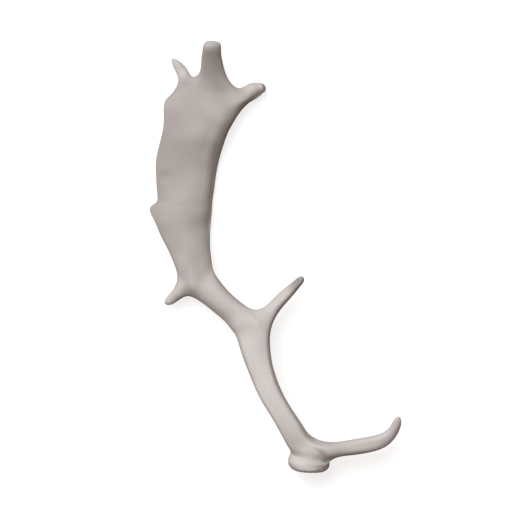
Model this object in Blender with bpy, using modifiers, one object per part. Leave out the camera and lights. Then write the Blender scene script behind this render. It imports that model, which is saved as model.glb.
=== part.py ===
"""A palmate deer antler lying on its side, one bone split at its forks into eight solids.

The antler is drawn as a coarse cage of rings. The beam is pulled ring by ring out of the burr, the
tines are pulled out of the beam's sides, and the three upper points out of the palm's end. A
subdivision surface rounds the cage, thin saw cuts part it at the forks, and the burr is cut flat.

+Y runs from the burr to the top point, +X to the side of the brow tine, and Z = 0 is the surface that
the antler lies on. Ring sizes are in millimetres, everything else in metres.
"""

from dataclasses import dataclass
from math import copysign, cos, exp, radians, sin, tau

import bmesh
import bpy
from mathutils import Vector

MM = 0.001
SAW_CUT = 0.0003        # gap between two neighbouring solids
BONE = (0.56, 0.52, 0.485)
BONE_ROUGHNESS = 0.6
STEM_COLUMNS = 4        # faces across the stem, which is two faces high
FIT_ROUNDS = 4          # passes that draw the smooth surface onto the rings
LEVELS = 1              # subdivision levels of the finished surface
SHARP_ANGLE = 0.7       # edges that bend more than this, in radians, look sharp
FACE_CUTTER_WIDTH = 0.08
FACE_CUTTER_DEPTH = 0.02
LOWER = -1.0            # the side of a swelling that is on the lower face


@dataclass(frozen=True)
class Ring:
    """A section through a limb: its two edges, looking outwards along the limb, and its thickness."""

    left: tuple[float, float, float]
    right: tuple[float, float, float]
    thick: float
    crest: float | None = None      # height of the middle, where it isn't half way between the edges
    lean: float = 0.0               # how much thicker and blunter the right edge is than the left
    flat: float = 0.0               # how much flatter the two faces are than a round section's


@dataclass(frozen=True)
class Swelling:
    """A soft lump, or with a negative height a hollow, on one face."""

    place: tuple[float, float]
    along: float                    # half its length and half its width, where it is a third as high
    across: float
    turn: float                     # the turn of its length from +X, in degrees
    height: float
    side: float = 1.0               # the face that it is on: 1 is the upper one


@dataclass(frozen=True)
class Cut:
    """A saw cut across a limb."""

    place: tuple[float, float, float]
    along: tuple[float, float, float]
    width: float
    height: float


# Main stem, from the burr to the top of the palm
BURR = (
    Ring((20.5, -294.3, 27.4), (72.0, -296.3, 25.4), 45.7),
    Ring((17.5, -288.0, 29.1), (75.0, -290.0, 27.1), 49.2),
    Ring((17.8, -281.0, 29.5), (76.0, -284.5, 29.0), 48.0, None, 0.1),
    Ring((20.5, -273.0, 31.5), (68.0, -269.5, 36.0), 37.5, None, 0.25, 0.15),
    Ring((17.0, -264.5, 35.5), (49.0, -253.0, 42.5), 30.0, None, 0.1, 0.5),
)
BEAM = (
    Ring((8.0, -248.0, 41.0), (36.0, -234.0, 47.0), 28.0, 45.0, 0.05, 0.55),
    Ring((-4.5, -226.0, 43.0), (21.5, -212.0, 46.5), 27.5, 46.5, 0.0, 0.6),
    Ring((-18.5, -203.5, 41.7), (8.0, -188.0, 45.2), 27.5, 45.5, 0.0, 0.6),
    Ring((-31.0, -178.0, 38.2), (-0.5, -166.5, 41.5), 28.0, 42.2, 0.0, 0.6),
    Ring((-42.0, -151.5, 35.2), (-5.5, -146.0, 37.5), 29.5, 38.5, 0.0, 0.6),
    Ring((-50.0, -128.5, 33.8), (-8.0, -125.0, 35.8), 31.5, 36.2, 0.0, 0.55),
    Ring((-55.5, -111.5, 33.0), (-7.5, -104.0, 35.0), 33.5, None, 0.1, 0.4),
    Ring((-62.0, -102.0, 31.7), (-17.0, -87.0, 33.2), 34.0, None, 0.15, 0.2),
    Ring((-70.5, -91.5, 29.5), (-30.5, -74.0, 31.0), 34.0, None, 0.1, 0.15),
    Ring((-84.5, -79.0, 26.0), (-50.0, -63.0, 31.5), 33.5, None, 0.1, 0.15),
    Ring((-99.5, -67.0, 22.0), (-69.0, -46.0, 30.0), 32.5, None, 0.1, 0.1),
    Ring((-118.0, -55.5, 18.0), (-82.0, -29.5, 27.5), 30.5, None, 0.1, 0.1),
    Ring((-129.0, -43.0, 22.5), (-87.5, -18.0, 23.5), 27.5, None, -0.15, 0.1),
    Ring((-138.0, -27.5, 22.0), (-90.0, -5.5, 20.5), 24.5, 21.0, 0.0, 0.1),
)
PALM = (
    Ring((-143.0, -9.0, 18.5), (-92.0, 11.0, 17.0), 22.0, 20.8, 0.1),
    Ring((-151.0, 10.0, 15.5), (-92.5, 26.0, 13.5), 20.5, 20.4, 0.2),
    Ring((-160.0, 27.0, 12.5), (-91.5, 39.0, 12.5), 19.5, 19.6, 0.3),
    Ring((-168.0, 45.0, 9.5), (-90.5, 51.5, 12.5), 17.5, 18.6, 0.35),
    Ring((-173.2, 56.5, 6.5), (-90.0, 61.0, 12.5), 17.0, 17.6, 0.4),
    Ring((-177.0, 66.2, 4.2), (-89.5, 69.0, 12.3), 16.5, 16.9, 0.4),
    Ring((-172.8, 73.2, 3.4), (-89.0, 76.5, 12.0), 16.3, 16.6, 0.4),
    Ring((-166.2, 79.5, 3.0), (-88.0, 85.0, 11.7), 16.0, 16.3, 0.4),
    Ring((-167.0, 96.0, 3.3), (-86.0, 98.0, 11.2), 16.0, 15.6, 0.4),
    Ring((-168.0, 113.0, 6.0), (-84.0, 113.5, 10.5), 16.0, 15.2, 0.4),
    Ring((-168.5, 130.0, 8.0), (-81.0, 130.0, 11.0), 16.5, 15.2, 0.4),
    Ring((-166.0, 146.0, 10.5), (-76.5, 146.0, 13.0), 17.0, 16.8, 0.4),
    Ring((-162.0, 162.0, 14.5), (-71.0, 163.5, 16.5), 18.0, 18.6, 0.4),
    Ring((-158.0, 180.0, 18.5), (-63.5, 181.0, 18.5), 19.0, 19.0, 0.4),
    Ring((-157.0, 199.5, 18.5), (-53.5, 197.5, 19.0), 19.5, 18.8, 0.4),
    Ring((-155.2, 218.5, 16.0), (-45.0, 208.5, 18.0), 19.5, 18.4, 0.4),
)
PALM_END = (    # the last ring of the palm is bent over the roots of the three points
    (-145.0, 229.5, 9.5),
    (-116.5, 252.2, 17.0),
    (-86.0, 236.0, 22.0),
    (-53.6, 236.5, 17.0),
    (-36.5, 216.5, 15.5),
)
PALM_END_THICK = 13.0
PALM_END_EDGES = (0.8, 1.5)     # share of that thickness at the two outer corners
PALM_END_CROTCH = 0.9           # share of it at the roots of the points
CORNER_TUCKS = (0.3, 0.15)      # how far the corners' faces are drawn inwards
CROTCH_TUCK = 8.0               # how far the faces are drawn back in the crotches

# Tines that leave the sides of the stem
BROW_TINE = (
    Ring((67.5, -259.5, 42.0), (83.0, -280.5, 34.0), 28.0, None, 0.0, 0.4),
    Ring((97.0, -257.0, 35.5), (100.0, -278.0, 34.5), 23.5, None, 0.0, 0.4),
    Ring((123.5, -252.5, 34.0), (127.0, -274.5, 33.5), 20.5, None, 0.0, 0.4),
    Ring((146.0, -247.5, 36.5), (153.0, -265.5, 32.5), 17.0, None, 0.0, 0.3),
    Ring((158.0, -239.0, 42.0), (168.5, -249.5, 36.0), 12.5),
    Ring((165.0, -228.0, 47.5), (175.0, -233.5, 42.0), 9.0),
)
BROW_TIP = (172.0, -222.5, 48.0)
TREZ_TINE = (
    Ring((-14.5, -68.5, 28.5), (1.0, -82.5, 30.5), 21.5, None, 0.1, 0.1),
    Ring((2.5, -52.5, 29.5), (14.0, -65.0, 31.5), 17.0, None, 0.2, 0.2),
    Ring((16.5, -40.5, 31.5), (25.5, -52.0, 32.5), 14.5, None, 0.2, 0.2),
    Ring((25.0, -33.5, 42.0), (33.0, -42.5, 42.0), 11.5, None, 0.3, 0.3),
    Ring((31.5, -28.5, 54.5), (38.0, -35.5, 53.5), 8.5, None, 0.3, 0.3),
)
TREZ_TIP = (36.8, -27.5, 58.5)
BACK_TINE = (
    Ring((-128.5, -56.0, 18.5), (-142.0, -42.5, 24.0), 18.0),
    Ring((-137.5, -61.5, 17.5), (-149.5, -52.5, 20.0), 12.0),
    Ring((-145.5, -66.5, 18.0), (-155.0, -59.5, 19.0), 8.0),
)
BACK_TIP = (-155.0, -66.8, 18.5)

# Points that leave the end of the palm
REAR_POINT = (
    Ring((-136.6, 247.0, 15.0), (-122.0, 258.5, 15.0), 12.0, None, 0.2),
    Ring((-141.0, 260.5, 13.5), (-128.6, 268.3, 13.0), 9.0, None, 0.2),
    Ring((-146.0, 274.5, 11.0), (-140.5, 277.0, 12.0), 5.0),
)
TOP_POINT = (
    Ring((-107.0, 258.0, 24.0), (-67.5, 251.0, 20.5), 15.5),
    Ring((-104.5, 273.5, 33.5), (-74.0, 270.5, 29.5), 14.0),
    Ring((-103.0, 285.0, 41.5), (-76.5, 283.0, 36.5), 13.5),
    Ring((-101.5, 294.3, 46.5), (-77.0, 295.8, 43.0), 13.0),
    Ring((-98.0, 299.8, 44.0), (-80.0, 299.3, 41.5), 5.5),
)
TOP_TIP = (-88.5, 299.2, 41.0)
FRONT_POINT = (
    Ring((-38.0, 242.4, 16.5), (-25.5, 222.5, 14.5), 18.5, None, 0.1),
    Ring((-27.0, 243.4, 14.0), (-18.0, 229.8, 14.0), 17.0, None, 0.1),
    Ring((-18.8, 242.8, 16.0), (-15.2, 232.8, 16.5), 12.5),
)

SWELLINGS = (
    Swelling((-79.0, 194.0), 24.0, 18.0, -35.0, 7.0),
    Swelling((-105.0, 168.0), 21.0, 19.0, -45.0, 4.8),
    Swelling((-138.0, 165.0), 22.0, 12.0, 8.0, 0.8),
    Swelling((-131.0, 111.0), 26.0, 12.0, 88.0, -2.2),
    Swelling((-83.0, 80.0), 75.0, 12.0, 86.0, -4.5),
    Swelling((-156.0, 20.0), 28.0, 10.0, -70.0, 3.0),
    Swelling((-81.0, 172.0), 38.0, 9.0, 70.0, 2.6),
    Swelling((-94.0, 120.0), 38.0, 8.0, 84.0, 1.3),
    Swelling((-34.0, 205.0), 22.0, 11.0, 50.0, -6.0),
    Swelling((-24.0, 218.0), 14.0, 9.0, 40.0, -7.0),
    Swelling((-128.0, 263.0), 8.0, 8.0, 0.0, -1.6),
    Swelling((-152.0, 239.0), 14.0, 8.0, 48.0, -5.5),
    Swelling((-131.0, -28.0), 9.0, 9.0, 0.0, -1.6),
    Swelling((-182.0, 78.0), 10.0, 10.0, 0.0, -3.5),
    Swelling((-148.0, 72.5), 16.0, 6.0, 0.0, -1.0),
    Swelling((-150.0, 208.0), 18.0, 18.0, 0.0, 2.2),
    Swelling((-108.0, -5.0), 14.0, 14.0, 0.0, -1.5),
    Swelling((-55.0, -98.0), 14.0, 11.0, 45.0, 1.8),
    Swelling((-150.0, 83.5), 16.0, 6.5, 0.0, 0.9),
    Swelling((90.0, -273.0), 24.0, 6.0, 5.0, 1.2),
    Swelling((40.0, -272.0), 24.0, 6.0, -5.0, 1.2),
    Swelling((76.0, -279.5), 8.0, 7.0, 0.0, 1.8),
    Swelling((-47.0, 197.0), 14.0, 9.0, 60.0, -2.5),
    Swelling((-93.0, 230.0), 14.0, 12.0, 0.0, -1.6),
    Swelling((-104.0, 137.0), 15.0, 11.0, -45.0, 1.8),
    Swelling((149.0, -252.0), 8.0, 8.0, 0.0, 1.2),
    Swelling((-130.0, -44.0), 8.0, 8.0, 0.0, 1.5),
    Swelling((-153.0, 80.0), 10.0, 10.0, 0.0, 1.5),
    Swelling((-45.0, 219.0), 12.0, 10.0, 0.0, 4.0),
    Swelling((-23.0, 234.0), 9.0, 9.0, 0.0, 3.2, LOWER),
    Swelling((-76.0, 231.0), 16.0, 10.0, -40.0, -3.8),
    Swelling((-155.0, 111.0), 9.0, 9.0, 0.0, -2.0),
    Swelling((-98.0, 42.0), 27.0, 15.0, 8.0, -5.0),
    Swelling((-159.0, 50.0), 14.0, 14.0, 0.0, 3.0),
    Swelling((-116.0, -46.0), 9.0, 9.0, 0.0, 2.5),
    Swelling((-84.0, -86.0), 26.0, 8.0, -42.0, -4.0),
    Swelling((-98.0, -28.0), 14.0, 12.0, -45.0, -2.4),
    Swelling((-20.0, -88.0), 12.0, 10.0, -45.0, 2.4),
    Swelling((68.0, -266.0), 20.0, 10.0, -12.0, 4.0),
    Swelling((62.0, -283.0), 12.0, 5.0, 8.0, -2.2),
    Swelling((75.0, -285.0), 9.0, 4.0, 8.0, -7.5),
)

# Each node other than the beam is what lies beyond its cut
CUTS = {
    "brow_tine": Cut((80.0, -269.0, 33.0), (1.0, 0.05, 0.1), 46.0, 60.0),
    "trez_tine": Cut((-6.5, -75.5, 28.5), (0.67, 0.74, 0.1), 46.0, 40.0),
    "back_tine": Cut((-132.0, -46.5, 24.0), (-0.71, -0.7, -0.1), 40.0, 36.0),
    "palm": Cut((-116.0, -8.0, 19.0), (-0.39, 0.92, -0.05), 90.0, 50.0),
    "rear_point": Cut((-130.0, 253.5, 15.5), (-0.51, 0.86, 0.2), 26.0, 30.0),
    "top_point": Cut((-87.0, 255.0, 21.0), (0.17, 0.92, 0.35), 50.0, 34.0),
    "front_point": Cut((-38.0, 228.0, 12.0), (0.86, 0.5, -0.2), 34.0, 30.0),
}
TIPS = {
    "brow_tine": BROW_TIP,
    "trez_tine": TREZ_TIP,
    "back_tine": BACK_TIP,
    "palm": PALM[8].right,
    "rear_point": REAR_POINT[-1].left,
    "top_point": TOP_TIP,
    "front_point": FRONT_POINT[-1].left,
    "beam": BEAM[4].left,
}
BURR_FACE = (46.2, -295.7, 24.7)
BURR_FACE_OUT = (-0.05, -0.93, -0.365)
BURR_BULGE = 4.0


def metres(point):
    """Turn a point in millimetres into a vector in metres."""
    return Vector(point) * MM


def patch_places(columns):
    """Give each vertex of a patch, columns faces wide and 2 high, its place in a round section.

    A place is (across, rise), both from -1 to 1. The rim goes round the section, and the vertices
    inside the patch lie on the line between the two edges.
    """
    rim = [(0, 1)]
    rim += [(column, 2) for column in range(columns + 1)]
    rim += [(columns, 1)]
    rim += [(column, 0) for column in range(columns, -1, -1)]
    places = {}
    for index, key in enumerate(rim):
        angle = tau * index / len(rim)
        places[key] = (-cos(angle), sin(angle))
    for column in range(1, columns):
        places[column, 1] = (2 * column / columns - 1, 0.0)
    return places


def ring_middle(ring):
    """Give the point half way between the edges of a ring."""
    return (metres(ring.left) + metres(ring.right)) / 2


def ring_points(ring, along, columns):
    """Place a patch's vertices on a ring that faces along the limb."""
    middle = ring_middle(ring)
    half = (metres(ring.right) - metres(ring.left)) / 2
    up = half.cross(along).normalized()
    if up.z < 0:
        up.negate()
    lift = 0.0 if ring.crest is None else ring.crest * MM - middle.z
    points = {}
    for key, (across, rise) in patch_places(columns).items():
        depth = ring.thick / 2 * abs(rise) ** (1 - ring.flat - ring.lean * across)
        depth *= 1 + ring.lean * across
        dome = lift * (1 - across * across)
        points[key] = middle + half * across + up * (copysign(depth, rise) * MM + dome)
    return points


def patch_faces(cage, patch):
    """Find the faces between the vertices of a patch."""
    columns = max(column for column, _ in patch)
    faces = []
    for column in range(columns):
        for row in range(2):
            corners = [
                patch[column, row],
                patch[column + 1, row],
                patch[column + 1, row + 1],
                patch[column, row + 1],
            ]
            faces.append(cage.faces.get(corners))
    return faces


def grow(cage, patch, points):
    """Extrude a patch, put its new vertices on the given points, and return the new patch."""
    keys = {vert.co.to_tuple(): key for key, vert in patch.items()}
    faces = patch_faces(cage, patch)
    edges = {edge for face in faces for edge in face.edges}
    grown = bmesh.ops.extrude_face_region(cage, geom=faces + list(edges))["geom"]
    new_patch = {}
    for item in grown:
        if isinstance(item, bmesh.types.BMVert):
            new_patch[keys[item.co.to_tuple()]] = item
    for key, vert in new_patch.items():
        vert.co = points[key]
    return new_patch


def grow_limb(cage, patch, rings, tip=None):
    """Extrude a patch through the rings of a limb and return every patch on the way."""
    columns = max(column for column, _ in patch)
    root = sum((vert.co for vert in patch.values()), Vector()) / len(patch)
    middles = [root] + [ring_middle(ring) for ring in rings]
    middles.append(metres(tip) if tip else middles[-1])
    patches = []
    for index, ring in enumerate(rings, start=1):
        along = middles[index + 1] - middles[index - 1]
        patch = grow(cage, patch, ring_points(ring, along, columns))
        patches.append(patch)
    if tip:
        patch[1, 1].co = metres(tip)
    return patches


def start_patch(cage, ring, along, columns):
    """Make the first patch, the underside of the burr, from a flat grid."""
    half = 0.5
    grid = bmesh.ops.create_grid(cage, x_segments=columns, y_segments=2, size=half)["verts"]
    patch = {}
    for vert in grid:
        patch[round((vert.co.x + half) * columns), round((vert.co.y + half) * 2)] = vert
    for key, point in ring_points(ring, along, columns).items():
        patch[key].co = point
    return patch


def side_patch(stem, index, column):
    """Take the 2 x 2 patch on one side of the stem, around the ring with the given index.

    Column 0 is the stem's left side and its last column the right side. The patch's own column 0 is on its
    left, looking outwards, so on the right side it starts with the ring farther along the stem.
    """
    step = -1 if column else 1
    patch = {}
    for offset in (-1, 0, 1):
        for row in range(3):
            patch[1 + offset, row] = stem[index + step * offset][column, row]
    return patch


def end_points():
    """Place the palm's last vertices over the roots of the points."""
    last = len(PALM_END) - 1
    edges = {0: PALM_END_EDGES[0], last: PALM_END_EDGES[1]}
    points = {}
    for column, place in enumerate(PALM_END):
        depth = PALM_END_THICK / 2 * edges.get(column, PALM_END_CROTCH)
        for row in range(3):
            points[column, row] = metres(place) + Vector((0.0, 0.0, depth * (row - 1) * MM))
    for column, neighbour, tuck in zip((0, last), (1, last - 1), CORNER_TUCKS):
        for row in (0, 2):
            points[column, row] += (points[neighbour, row] - points[column, row]) * tuck
    for column in (1, last - 1):
        for row in (0, 2):
            points[column, row].y -= CROTCH_TUCK * MM
    return points


def limit_point(vert):
    """Give the point where the smooth surface passes a vertex of an all-quad cage."""
    count = len(vert.link_edges)
    near = sum((edge.other_vert(vert).co for edge in vert.link_edges), Vector())
    far = Vector()
    for loop in vert.link_loops:
        far += loop.link_loop_next.link_loop_next.vert.co
    return (vert.co * count * count + near * 4 + far) / (count * (count + 5))


def fit_cage(cage):
    """Push the cage outwards until its smooth surface passes through the rings as drawn."""
    drawn = {vert: vert.co.copy() for vert in cage.verts}
    for _ in range(FIT_ROUNDS):
        limits = {vert: limit_point(vert) for vert in cage.verts}
        for vert, limit in limits.items():
            vert.co += drawn[vert] - limit


def build_cage():
    """Model the whole antler as a coarse cage of four-sided faces."""
    cage = bmesh.new()
    first, *rest = BURR + BEAM + PALM
    along = ring_middle(rest[0]) - ring_middle(first)
    burr_patch = start_patch(cage, first, along, STEM_COLUMNS)
    stem = [burr_patch] + grow_limb(cage, burr_patch, rest)
    end = grow(cage, stem[-1], end_points())

    for column in range(1, STEM_COLUMNS):
        burr_patch[column, 1].co += Vector(BURR_FACE_OUT) * BURR_BULGE * MM

    brow_ring = 3
    trez_ring = len(BURR) + 7
    back_ring = len(BURR) + 12
    grow_limb(cage, side_patch(stem, brow_ring, STEM_COLUMNS), BROW_TINE, BROW_TIP)
    grow_limb(cage, side_patch(stem, trez_ring, STEM_COLUMNS), TREZ_TINE, TREZ_TIP)
    grow_limb(cage, side_patch(stem, back_ring, 0), BACK_TINE, BACK_TIP)

    for first_column, last_column, rings, tip in (
        (0, 1, REAR_POINT, None),
        (1, 3, TOP_POINT, TOP_TIP),
        (3, STEM_COLUMNS, FRONT_POINT, None),
    ):
        root = {}
        for column in range(first_column, last_column + 1):
            for row in range(3):
                root[column - first_column, row] = end[column, row]
        grow_limb(cage, root, rings, tip)

    bmesh.ops.recalc_face_normals(cage, faces=cage.faces)
    fit_cage(cage)
    return cage


def swell(mesh):
    """Raise and lower the faces where they have soft lumps and hollows."""
    lifts = []
    for vert in mesh.vertices:
        lift = 0.0
        for swelling in SWELLINGS:
            off = vert.co.xy / MM - Vector(swelling.place)
            turn = radians(swelling.turn)
            length = (off.x * cos(turn) + off.y * sin(turn)) / swelling.along
            width = (off.y * cos(turn) - off.x * sin(turn)) / swelling.across
            facing = min(1.0, max(0.0, 1.4 * swelling.side * vert.normal.z))
            height = swelling.height * exp(-length * length - width * width)
            lift += swelling.side * facing * height
        lifts.append(lift * MM)
    for vert, lift in zip(mesh.vertices, lifts):
        vert.co.z += lift


def link(item, collection):
    """Put an object in a collection and nowhere else."""
    for owner in item.users_collection:
        owner.objects.unlink(item)
    collection.objects.link(item)


def add_box(name, collection, middle, facing, size):
    """Add a cutting box whose local Z faces the given way and whose local Y is upright."""
    bpy.ops.mesh.primitive_cube_add(size=1.0)
    box = bpy.context.object
    box.name = name
    box.dimensions = size
    bpy.ops.object.transform_apply(location=False, rotation=False, scale=True)
    box.rotation_euler = Vector(facing).to_track_quat("Z", "Y").to_euler()
    box.location = middle
    box.hide_render = True
    box.display_type = "WIRE"
    link(box, collection)
    return box


def add_cutters(collection):
    """Add the saw cuts at the forks and the block that flattens the burr."""
    for name, cut in CUTS.items():
        size = (cut.width * MM, cut.height * MM, SAW_CUT)
        add_box(f"cut_{name}", collection, metres(cut.place), cut.along, size)
    out = Vector(BURR_FACE_OUT).normalized()
    middle = metres(BURR_FACE) + out * FACE_CUTTER_DEPTH / 2
    size = (FACE_CUTTER_WIDTH, FACE_CUTTER_WIDTH, FACE_CUTTER_DEPTH)
    add_box("cut_burr_face", collection, middle, out, size)


def evaluated_mesh(item, name):
    """Give a new mesh of an object with its modifiers applied."""
    graph = bpy.context.evaluated_depsgraph_get()
    mesh = bpy.data.meshes.new_from_object(item.evaluated_get(graph))
    mesh.name = name
    return mesh


def smooth_antler(cage, collection):
    """Turn the cage into a smooth antler with its lumps and hollows."""
    mesh = bpy.data.meshes.new("antler_cage")
    cage.to_mesh(mesh)
    cage.free()
    antler = bpy.data.objects.new("antler", mesh)
    collection.objects.link(antler)
    smoothing = antler.modifiers.new("Round", "SUBSURF")
    smoothing.levels = LEVELS
    smoothing.render_levels = LEVELS
    rounded = evaluated_mesh(antler, "antler")
    antler.modifiers.remove(smoothing)
    swell(rounded)
    antler.data = rounded
    return antler


def part_at_forks(antler, cutters):
    """Make the saw cuts and return the bmesh of all the loose solids."""
    sawing = antler.modifiers.new("Saw", "BOOLEAN")
    sawing.operation = "DIFFERENCE"
    sawing.solver = "EXACT"
    sawing.operand_type = "COLLECTION"
    sawing.collection = cutters
    sawn = bmesh.new()
    mesh = evaluated_mesh(antler, "sawn")
    sawn.from_mesh(mesh)
    bpy.data.meshes.remove(mesh)
    return sawn


def loose_solids(sawn):
    """Sort the vertices of a mesh into its loose solids."""
    waiting = set(sawn.verts)
    solids = []
    while waiting:
        front = [waiting.pop()]
        solid = set(front)
        while front:
            vert = front.pop()
            for edge in vert.link_edges:
                other = edge.other_vert(vert)
                if other in waiting:
                    waiting.remove(other)
                    solid.add(other)
                    front.append(other)
        solids.append(solid)
    return solids


def bone_material(name):
    """Make the pale grey bone of one solid."""
    material = bpy.data.materials.new(f"bone_{name}")
    material.use_nodes = True
    shader = material.node_tree.nodes["Principled BSDF"]
    shader.inputs["Base Color"].default_value = (*BONE, 1.0)
    shader.inputs["Roughness"].default_value = BONE_ROUGHNESS
    shader.inputs["Metallic"].default_value = 0.0
    return material


def set_down(sawn):
    """Move the solids onto Z = 0, with the middle of their box over the origin."""
    low = Vector([min(vert.co[axis] for vert in sawn.verts) for axis in range(3)])
    high = Vector([max(vert.co[axis] for vert in sawn.verts) for axis in range(3)])
    middle = (low + high) / 2
    bmesh.ops.translate(sawn, verts=sawn.verts, vec=(-middle.x, -middle.y, -low.z))


def add_solid(name, sawn, solid, collection):
    """Copy one loose solid into an object of its own."""
    copy = sawn.copy()
    keep = {vert.index for vert in solid}
    spare = [vert for vert in copy.verts if vert.index not in keep]
    bmesh.ops.delete(copy, geom=spare, context="VERTS")
    mesh = bpy.data.meshes.new(name)
    copy.to_mesh(mesh)
    copy.free()
    mesh.shade_smooth()
    mesh.set_sharp_from_angle(angle=SHARP_ANGLE)
    mesh.materials.clear()
    mesh.materials.append(bone_material(name))
    item = bpy.data.objects.new(name, mesh)
    collection.objects.link(item)


def main():
    """Build the antler's eight solids."""
    for item in list(bpy.data.objects):
        bpy.data.objects.remove(item, do_unlink=True)
    solids_collection = bpy.data.collections.new("deer_antler")
    cutters = bpy.data.collections.new("cutters")
    bpy.context.scene.collection.children.link(solids_collection)
    bpy.context.scene.collection.children.link(cutters)

    antler = smooth_antler(build_cage(), solids_collection)
    add_cutters(cutters)
    sawn = part_at_forks(antler, cutters)
    sawn.verts.index_update()
    solids = loose_solids(sawn)
    named = {}
    for name, tip in TIPS.items():
        place = metres(tip)
        named[name] = min(solids, key=lambda solid: min((vert.co - place).length for vert in solid))
    set_down(sawn)
    for name, solid in named.items():
        add_solid(name, sawn, solid, solids_collection)
    sawn.free()
    bpy.data.objects.remove(antler, do_unlink=True)


main()
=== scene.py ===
"""The look of a palmate deer antler that lies on its side: one smooth skin in place of its solids.

The skin is grown as the antler is. A coarse cage is extruded section by section from the burr, up the
beam and out into the palm. The side tines are extruded from the stem's sides and the crown points from
the palm's end. Subdivision rounds the cage, and then the lumps, hollows and flutes are raised on it.

Sections, reliefs and the bone's unevenness are in millimetres: +Y runs from the burr to the crown, +X
to the side of the brow tine and +Z up. DRAWN_TO_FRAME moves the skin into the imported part's frame,
where the antler lies on Z = 0. Everything else is in metres.
"""

import logging
from dataclasses import dataclass, field
from enum import Enum
from math import cos, radians, sin, tau

import bmesh
import bpy
import numpy as np
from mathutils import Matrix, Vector, noise


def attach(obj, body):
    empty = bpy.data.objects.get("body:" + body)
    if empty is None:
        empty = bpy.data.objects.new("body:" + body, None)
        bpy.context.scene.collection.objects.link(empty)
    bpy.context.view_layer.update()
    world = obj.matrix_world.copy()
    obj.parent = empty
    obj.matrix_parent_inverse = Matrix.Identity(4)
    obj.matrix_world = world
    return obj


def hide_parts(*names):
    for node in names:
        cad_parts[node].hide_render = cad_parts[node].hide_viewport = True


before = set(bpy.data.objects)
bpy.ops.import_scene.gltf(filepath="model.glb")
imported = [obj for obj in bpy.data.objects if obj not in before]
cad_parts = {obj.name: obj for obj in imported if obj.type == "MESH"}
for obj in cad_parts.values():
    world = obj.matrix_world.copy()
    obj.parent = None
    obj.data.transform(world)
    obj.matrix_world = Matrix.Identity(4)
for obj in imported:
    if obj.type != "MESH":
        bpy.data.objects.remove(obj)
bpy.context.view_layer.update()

LOG = logging.getLogger("antler")

MM = 0.001
DRAWN_TO_FRAME = Vector((0.95, 0.13, -2.69))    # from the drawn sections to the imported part's place
STEM_COLUMNS = 4                                # faces across the stem's cage
SKIN_LEVELS = 3                                 # times that the cage is divided to round it
PICTURE_PIXELS = 512
MM_PER_PIXEL = 1.4                              # at the antler's middle height

# The unevenness of grown bone, in millimetres
SWELLS = ((0.30, 26.0), (0.12, 9.0))            # height and length of each
FLUTE_HEIGHT = 0.16
FLUTE_LENGTHS = (4.5, 4.5, 60.0)                # across, through and along a limb
PEARL_LENGTH = 5.5

HOLLOW_ROUNDS = 24                              # rounds of smoothing that hollows are measured from
HOLLOW_DEPTH = 0.0016                           # depth of a full crease, in metres
NOISE_RANGE = (0.3, 0.7)                        # where a noise texture's values mostly lie

Place = tuple[float, float, float]
Key = tuple[int, int]
Patch = dict[Key, bmesh.types.BMVert]
Colour = tuple[float, float, float]
Feed = bpy.types.NodeSocket | Colour | float


class Side(Enum):
    """The side of the stem that a tine leaves, looking from the burr to the crown."""

    LEFT = 0
    RIGHT = STEM_COLUMNS


class Face(Enum):
    """The face of the antler that a relief is on."""

    UPPER = 1.0
    LOWER = -1.0


@dataclass(frozen=True)
class Section:
    """A section through a limb, in millimetres.

    Attributes:
        left: The left edge, looking outwards along the limb.
        right: The right edge.
        thick: The thickness in the middle.
        crest: The height of the middle, where it isn't half way between the edges.
        lean: How much thicker and blunter the right edge is than the left.
        flat: How much flatter the two faces are than a round section's.
    """

    left: Place
    right: Place
    thick: float
    crest: float | None = None
    lean: float = 0.0
    flat: float = 0.0

    def middle(self) -> Vector:
        """Give the point half way between the two edges."""
        return (Vector(self.left) + Vector(self.right)) / 2

    def half_width(self) -> float:
        """Give half the distance between the two edges."""
        return (Vector(self.right) - Vector(self.left)).length / 2

    def points(self, along: Vector, columns: int) -> dict[Key, Vector]:
        """Place the vertices of a patch on this section.

        Args:
            along: The direction of the limb here.
            columns: The number of faces across the patch.

        Returns:
            The place of each vertex of the patch.
        """
        middle = self.middle()
        half = (Vector(self.right) - Vector(self.left)) / 2
        up = half.cross(along).normalized()
        if up.z < 0:
            up.negate()
        lift = 0.0 if self.crest is None else self.crest - middle.z
        placed = {}
        for key, (across, rise) in round_places(columns).items():
            depth = self.thick / 2 * abs(rise) ** (1 - self.flat - self.lean * across)
            depth *= 1 + self.lean * across
            dome = lift * (1 - across * across)
            placed[key] = middle + half * across + up * (np.sign(rise) * depth + dome)
        return placed


@dataclass(frozen=True)
class Relief:
    """A soft lump on one face, or with a negative height a hollow, in millimetres.

    Attributes:
        place: Its middle, seen from above.
        along: Half its length, where it has fallen to a third of its height.
        across: Half its width.
        turn: The turn of its length from +X, in degrees.
        height: How far it stands up.
        face: The face that it is on.
    """

    place: tuple[float, float]
    along: float
    across: float
    turn: float
    height: float
    face: Face = Face.UPPER

    def lift(self, points: np.ndarray) -> np.ndarray:
        """Give its height at each of a set of points.

        Args:
            points: Points in millimetres, one in a row.

        Returns:
            The height at each point.
        """
        angle = radians(self.turn)
        off = points[:, :2] - np.array(self.place)
        length = (off[:, 0] * cos(angle) + off[:, 1] * sin(angle)) / self.along
        width = (off[:, 1] * cos(angle) - off[:, 0] * sin(angle)) / self.across
        return self.height * np.exp(-length * length - width * width)


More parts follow.
